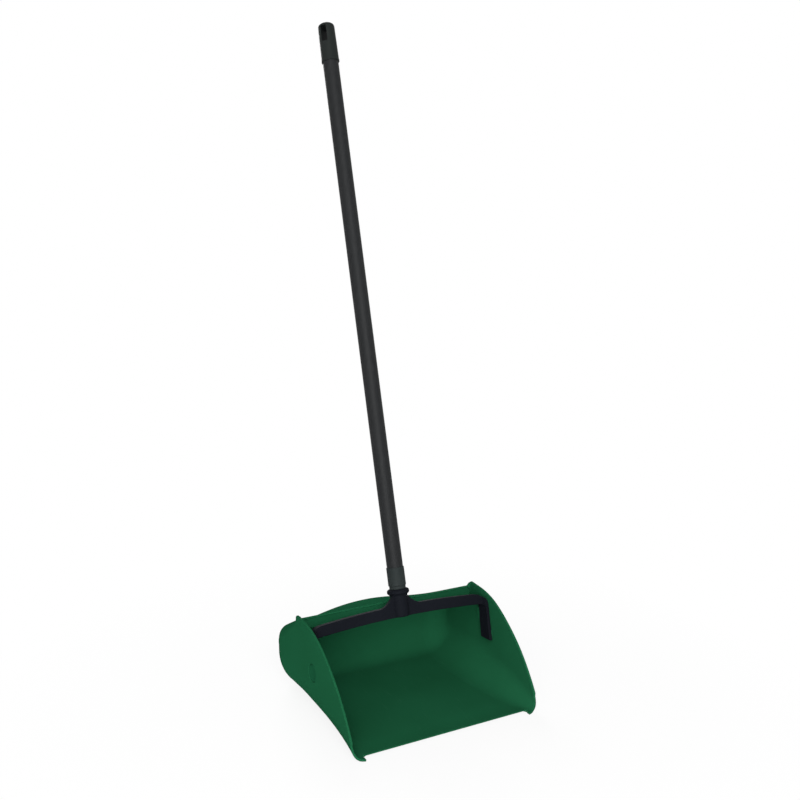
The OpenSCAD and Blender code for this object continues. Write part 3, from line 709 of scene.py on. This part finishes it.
# %% Tube and ferrule
TUBE_R, TUBE_WALL, TUBE_FOOT, TUBE_TOP, TUBE_FIT = 11.4, 0.5, 94.0, 872.0, 0.08
FERRULE_R, FERRULE_TOP, FERRULE_ROUND, GROOVE_H, GROOVE_D = 12.4, 117.0, 0.4, 4.0, 0.9
TUBE_STEPS = 72
bore_r, groove_r, sleeve_r = TUBE_R - TUBE_WALL, FERRULE_R - GROOVE_D, TUBE_R + TUBE_FIT
groove_top = SOCKET_TOP + GROOVE_H
tube = turned([(TUBE_R, TUBE_FOOT), (TUBE_R, TUBE_TOP), (bore_r, TUBE_TOP), (bore_r, TUBE_FOOT)],
              TUBE_STEPS)
bmesh.ops.transform(tube, matrix=ON_HANDLE, verts=tube.verts)
tube_coated = hand_over(tube, "tube_coated", "handle_body", "handle_tube")

ferrule = turned([(THREAD_R, SOCKET_TOP), (groove_r, SOCKET_TOP), (groove_r, groove_top),
                  (FERRULE_R, groove_top + GROOVE_D), (FERRULE_R, FERRULE_TOP),
                  (sleeve_r, FERRULE_TOP), (sleeve_r, TUBE_FOOT), (THREAD_R, TUBE_FOOT)],
                 TUBE_STEPS)
soften(ferrule, FERRULE_ROUND, degrees=30)
bmesh.ops.transform(ferrule, matrix=ON_HANDLE, verts=ferrule.verts)
ferrule_moulding = hand_over(ferrule, "ferrule_moulding", "handle_body", "lower_ferrule")

# %% [markdown]
# The cap closes the top of the tube and has a slot that goes right through it, so that the dustpan
# can hang on a hook. A boolean could cut the slot. It is cleaner to spin the cap with rows where
# the slot begins and ends, to open two windows in opposite sides, and to bridge them with faces.

# %% Top cap, still closed
CAP_FOOT, CAP_TOP, CAP_R, CAP_TOP_R, CAP_ROUND = 846.0, 903.0, 12.7, 12.0, 5.0
CAP_RIM_H, CAP_RIM_OUT, RIM_CHAMFER, CAP_GAP, CAP_ROW = 3.0, 0.3, 0.5, 0.1, 9.0
SLOT_FOOT, SLOT_H, SLOT_ROWS, CAP_STEPS = 875.0, 23.0, 4, 36
rim_top, round_z = CAP_FOOT + CAP_RIM_H, CAP_TOP - CAP_ROUND


def cap_radius(s):
    return CAP_R + (CAP_TOP_R - CAP_R) * (s - rim_top) / (round_z - rim_top)


side_rows = [rim_top + CAP_ROW, rim_top + 2 * CAP_ROW]
side_rows += [SLOT_FOOT + SLOT_H * i / SLOT_ROWS for i in range(SLOT_ROWS + 1)]
profile = [(0, TUBE_TOP + CAP_GAP), (sleeve_r, TUBE_TOP + CAP_GAP), (sleeve_r, CAP_FOOT),
           (CAP_R + CAP_RIM_OUT, CAP_FOOT), (CAP_R + CAP_RIM_OUT, rim_top),
           (CAP_R, rim_top + RIM_CHAMFER)]
profile += [(cap_radius(s), s) for s in side_rows]
profile += arc(CAP_TOP_R - CAP_ROUND, round_z, CAP_ROUND, range(15, 91, 15)) + [(0, CAP_TOP)]
cap = turned(profile, CAP_STEPS, closed=False)
print("closed cap", len(cap.faces), "faces")

# %% Hanging slot through the cap
SLOT_COLUMNS, SLOT_AZIMUTH, CAP_SIDE_R, SLOT_ROUND = 4, math.radians(220), 10.0, 0.5
# Material index for the slot's inner faces, which carry a painted shade.
SLOT_PAINTED_SHADE = 1


def slot_window(toward):
    def belongs(face):
        c = face.calc_center_median() / MM
        away = (math.atan2(c.y, c.x) - toward + math.pi) % (2 * math.pi) - math.pi
        on_side = math.hypot(c.x, c.y) > CAP_SIDE_R and SLOT_FOOT < c.z < SLOT_FOOT + SLOT_H
        return on_side and abs(away) < math.pi * SLOT_COLUMNS / CAP_STEPS

    return [f for f in cap.faces if belongs(f)]


windows, rims = [slot_window(SLOT_AZIMUTH), slot_window(SLOT_AZIMUTH + math.pi)], []
for window in windows:
    rims += [e for f in window for e in f.edges if sum(g in window for g in e.link_faces) == 1]
bmesh.ops.delete(cap, geom=windows[0] + windows[1], context="FACES")
# The faces bridged through the slot take a darker grey: painted shade for the shadow inside the
# slot.
for f in bmesh.ops.bridge_loops(cap, edges=rims)["faces"]:
    f.material_index = SLOT_PAINTED_SHADE
bmesh.ops.recalc_face_normals(cap, faces=cap.faces)
soften(cap, SLOT_ROUND, degrees=45)
bmesh.ops.transform(cap, matrix=ON_HANDLE, verts=cap.verts)
cap_moulding = hand_over(cap, "cap_moulding", "handle_body", "top_cap")

# %% [markdown]
# ## Finishes
# Every finish is mixed from noise that sits in the object itself, so it stays put when the pan
# moves. Nodes could be added and linked one by one, but the sums get lost in that. A small wrapper
# lets shader sums be written as plain arithmetic, and one method adds every other node.

# %% A wrapper for shader arithmetic
class Amount:
    def __init__(self, wires, socket):
        self.wires, self.socket = wires, socket

    def _sum(self, how, a, b):
        return self.wires.node("ShaderNodeMath", {"operation": how}, {0: a, 1: b})

    def __add__(self, other):
        return self._sum("ADD", self, other)

    def __radd__(self, other):
        return self._sum("ADD", other, self)

    def __sub__(self, other):
        return self._sum("SUBTRACT", self, other)

    def __rsub__(self, other):
        return self._sum("SUBTRACT", other, self)

    def __mul__(self, other):
        return self._sum("MULTIPLY", self, other)

    def __rmul__(self, other):
        return self._sum("MULTIPLY", other, self)


class Wires:
    def __init__(self, tree):
        self.tree = tree

    def plug(self, value, socket):
        if isinstance(value, Amount):
            self.tree.links.new(value.socket, socket)
        else:
            socket.default_value = value

    def node(self, kind, settings=None, sockets=None, out=0):
        made = self.tree.nodes.new(kind)
        for key, value in (settings or {}).items():
            setattr(made, key, value)
        for key, value in (sockets or {}).items():
            self.plug(value, made.inputs[key])
        return Amount(self, made.outputs[out])

    def first(self, kind):
        return next(n for n in self.tree.nodes if n.type == kind)

    def between(self, value, low, high, to_low=0.0, to_high=1.0):
        return self.node("ShaderNodeMapRange", {"clamp": True},
                         {"Value": value, "From Min": low, "From Max": high,
                          "To Min": to_low, "To Max": to_high})


print("shader sums ready")

# %% What every finish is mixed from
class Finish(Wires):
    def __init__(self, name):
        self.material = bpy.data.materials.new(name)
        self.material.use_nodes = True
        super().__init__(self.material.node_tree)
        self.surface = self.first("BSDF_PRINCIPLED")
        self.place = self.node("ShaderNodeTexCoord", out="Object")

    def stretched(self, x, y, z):
        return self.node("ShaderNodeMapping", sockets={"Vector": self.place, "Scale": (x, y, z)})

    def noise(self, scale, detail=3.0, rough=0.5, place=None):
        return self.node("ShaderNodeTexNoise",
                         sockets={"Vector": place or self.place, "Scale": scale,
                                  "Detail": detail, "Roughness": rough}, out="Fac")

    def mix(self, share, a, b):
        return self.node("ShaderNodeMix", {"data_type": "RGBA"},
                         {"Factor": share, 6: a, 7: b}, out=2)

    def along(self, axis):
        return self.node("ShaderNodeSeparateXYZ", sockets={"Vector": self.place}, out=axis)

    def bump(self, height, strength, distance):
        return self.node("ShaderNodeBump", sockets={"Height": height, "Strength": strength,
                                                    "Distance": distance})

    def set(self, **sockets):
        for key, value in sockets.items():
            self.plug(value, self.surface.inputs[key.replace("_", " ")])


def tone(r, g, b):
    """A colour as a screen shows it, 0 to 255, in the renderer's linear terms (the sRGB rule)."""
    return tuple(((c / 255 + 0.055) / 1.055) ** 2.4 if c > 10 else c / 255 / 12.92
                 for c in (r, g, b)) + (1.0,)


print("finish helpers ready")

# %% [markdown]
# Moulded plastic is never quite even: the melt cools with broad, faint clouds of tone, the steel of
# the mould leaves a fine grain, and use leaves short scuffs where the lip and toes rub along the
# ground. A picture could hold all this. Noise needs none, has no seams and follows every side, and
# one function serves all six plastics.

# %% Moulded plastics
CLOUD_SCALE, GRAIN_SCALE, CLOUD_ROUGH, GRAIN_ROUGH = 7.0, 1500.0, 0.10, 0.08
GRAIN_STRENGTH, GRAIN_DEPTH, SOFT_DETAIL, CLOUD_BAND = 0.06, 0.0003, 2.0, (0.35, 0.65)
STREAK_SCALE, STREAK_DETAIL, STREAK_GRIT = (420.0, 30.0, 420.0), 4.0, 0.6
STREAK_BAND, SCUFF_SHARE, SCUFF_ROUGH = (0.60, 0.72), 0.2, 0.12
SCUFF_FULL, SCUFF_END = 1.0, 9.0


def moulded(name, dark, light, rough, shine, scuffed=None):
    made = Finish(name)
    clouds, grain = made.noise(CLOUD_SCALE, SOFT_DETAIL), made.noise(GRAIN_SCALE, SOFT_DETAIL)
    colour = made.mix(made.between(clouds, *CLOUD_BAND), dark, light)
    rough = rough + (clouds - 0.5) * CLOUD_ROUGH + (grain - 0.5) * GRAIN_ROUGH
    if scuffed:
        streaks = made.noise(1.0, STREAK_DETAIL, STREAK_GRIT, made.stretched(*STREAK_SCALE))
        rubbed = made.between(made.along("Z"), SCUFF_FULL * MM, SCUFF_END * MM, 1.0, 0.0)
        scuffs = made.between(streaks, *STREAK_BAND) * rubbed
        colour = made.mix(scuffs * SCUFF_SHARE, colour, scuffed)
        rough = rough + scuffs * SCUFF_ROUGH
    made.set(Base_Color=colour, Roughness=rough, Specular_IOR_Level=shine,
             Normal=made.bump(grain, GRAIN_STRENGTH, GRAIN_DEPTH))
    return made.material


green = moulded("green_plastic", tone(25, 80, 52), tone(28, 86, 57), 0.62, 0.0, tone(60, 112, 86))
pin_green = moulded("pin_green_plastic", tone(22, 75, 49), tone(24, 80, 52), 0.62, 0.0)
black = moulded("black_plastic", tone(17, 19, 24), tone(21, 23, 28), 0.55, 0.012)
grey = moulded("grey_plastic", tone(36, 41, 41), tone(42, 47, 47), 0.50, 0.04)
cap_grey = moulded("cap_grey_plastic", tone(30, 33, 32), tone(34, 38, 37), 0.50, 0.04)
# The slot's darker grey is painted shade for its shadowed inside, not a plastic of its own tone.
slot_painted_shade = moulded("slot_painted_shade_plastic", tone(18, 20, 20), tone(23, 26, 26), 0.60, 0.02)
plastics = (green, pin_green, black, grey, cap_grey, slot_painted_shade)
print("plastics", [plastic.name for plastic in plastics])

# %% [markdown]
# The tube's coating is a baked powder: dark, half matt, with a very fine orange peel and a faint
# grain along the tube from drawing the steel. A plain glossy black would look like plastic. Noise
# that is stretched along the handle gives the drawn grain.

# %% Dark coating of the steel tube
DRAWN_SCALE, PEEL_SCALE, PEEL_STRENGTH, PEEL_DEPTH = (300.0, 300.0, 12.0), 900.0, 0.08, 0.0002
DRAWN_BAND, PEEL_DETAIL, COAT_ROUGH, DRAWN_ROUGH, COAT_SHINE = (0.3, 0.7), 1.0, 0.50, 0.10, 0.08


def coated(name, dark, light):
    made = Finish(name)
    drawn = made.noise(1.0, place=made.stretched(*DRAWN_SCALE))
    made.set(Base_Color=made.mix(made.between(drawn, *DRAWN_BAND), dark, light),
             Roughness=COAT_ROUGH + (drawn - 0.5) * DRAWN_ROUGH, Specular_IOR_Level=COAT_SHINE,
             Normal=made.bump(made.noise(PEEL_SCALE, PEEL_DETAIL), PEEL_STRENGTH, PEEL_DEPTH))
    return made.material


coating = coated("charcoal_coating", tone(28, 29, 30), tone(33, 34, 35))
print("coating", coating.name)

# %% Give every piece its finish
finishes = ((pan_moulding, green), (pins[0], pin_green), (pins[1], pin_green),
            (yoke_moulding, black), (tube_coated, coating), (ferrule_moulding, grey),
            (cap_moulding, cap_grey), (cap_moulding, slot_painted_shade))
for piece, finish in finishes:
    piece.data.materials.append(finish)
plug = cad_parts["screw_plug"].data
plug.materials.clear()
plug.materials.append(grey)
print("finishes given to every piece")

# %% [markdown]
# ## Studio
# The photograph has a clean white ground with hardly any shadow. More light could bleach the floor,
# but it would bleach the pan too. Here the floor is a pale plane that glows white for the camera
# and for reflections, a little less so close to the pan, where it keeps a soft shadow.

# %% Floor
FLOOR_HALF_W, FLOOR_DROP, CLOTH_SCALE = 12.0, 0.0004, 3.0
FLOOR_DARK, FLOOR_LIGHT, WHITE = (0.88, 0.88, 0.88, 1), (0.9, 0.9, 0.9, 1), (1, 1, 1, 1)
SHADOW_NEAR, SHADOW_FAR, GLOW_NEAR = 0.25, 0.6, 0.86


def seen_by_lens(wires):
    kinds = [wires.node("ShaderNodeLightPath", out="Is %s Ray" % kind)
             for kind in ("Camera", "Glossy", "Transmission")]
    return kinds[0] + kinds[1] + kinds[2]


def white_floor():
    made = Finish("studio_floor")
    colour = made.mix(made.noise(CLOTH_SCALE), FLOOR_DARK, FLOOR_LIGHT)
    lit = made.node("ShaderNodeBsdfDiffuse", sockets={"Color": colour})
    glow = made.node("ShaderNodeEmission", sockets={"Color": WHITE, "Strength": 1.0})
    away = made.node("ShaderNodeVectorMath", {"operation": "LENGTH"}, {0: made.place}, out="Value")
    share = seen_by_lens(made) * made.between(away, SHADOW_NEAR, SHADOW_FAR, GLOW_NEAR, 1.0)
    both = made.node("ShaderNodeMixShader", sockets={0: share, 1: lit, 2: glow})
    made.plug(both, made.first("OUTPUT_MATERIAL").inputs["Surface"])
    made.tree.nodes.remove(made.surface)
    return made.material


sheet = bmesh.new()
bmesh.ops.create_grid(sheet, x_segments=1, y_segments=1, size=FLOOR_HALF_W)
bmesh.ops.translate(sheet, vec=(0, 0, -FLOOR_DROP), verts=sheet.verts)
floor_mesh = bpy.data.meshes.new("studio_floor")
sheet.to_mesh(floor_mesh)
sheet.free()
floor_mesh.materials.append(white_floor())
studio_floor = bpy.data.objects.new("studio_floor", floor_mesh)
bpy.context.scene.collection.objects.link(studio_floor)
print("floor", 2 * FLOOR_HALF_W, "metres wide")

# %% [markdown]
# The pan in the photograph is lit almost evenly, also deep under its hood. One strong lamp would
# leave that dark, so five soft ones share the work: a wide one and a high one at the front left,
# one in front, a low one that reaches in under the hood, and one behind that lights the hood's top.

# %% Soft lights
# Each light has a name, a place, a point it is aimed at, a width in metres and a power in watts.
LIGHTS = (("key", (-1.9, -1.55, 1.6), (0, 0, 0.2), 2.8, 18.0),
          ("high", (-1.2, -1.9, 2.2), (0, 0, 0.2), 1.5, 25.0),
          ("front", (-0.6, -2.2, 1.5), (0, 0, 0.2), 1.5, 29.0),
          ("low", (-1.35, -2.2, 0.5), (0, 0, 0.2), 1.5, 42.0),
          ("back", (0.4, 2.2, 1.45), (0, 0, 0.1), 1.2, 37.0))
for name, place, aim, width, power in LIGHTS:
    lamp = bpy.data.lights.new(name, "AREA")
    lamp.shape, lamp.size, lamp.energy = "DISK", width, power
    holder = bpy.data.objects.new(name, lamp)
    facing = (Vector(aim) - Vector(place)).to_track_quat("-Z", "Y").to_matrix().to_4x4()
    holder.matrix_world = Matrix.Translation(place) @ facing
    bpy.context.scene.collection.objects.link(holder)
print("lights", [light[0] for light in LIGHTS])

# %% [markdown]
# The sky is white for the camera and for reflections, as the floor is, and dim as a light, so that
# the lamps keep their shape on the tube. Standard colour shows a finish as it is written.

# %% Sky and colour
SKY_LIGHT = 0.2
sky = bpy.data.worlds.new("studio_sky")
sky.use_nodes = True
wires = Wires(sky.node_tree)
backdrop = wires.first("BACKGROUND")
wires.plug(WHITE, backdrop.inputs["Color"])
strength = wires.between(seen_by_lens(wires), 0.0, 1.0, SKY_LIGHT, 1.0)
wires.plug(strength, backdrop.inputs["Strength"])
bpy.context.scene.world = sky
bpy.context.scene.view_settings.view_transform = "Standard"
print("studio lit")
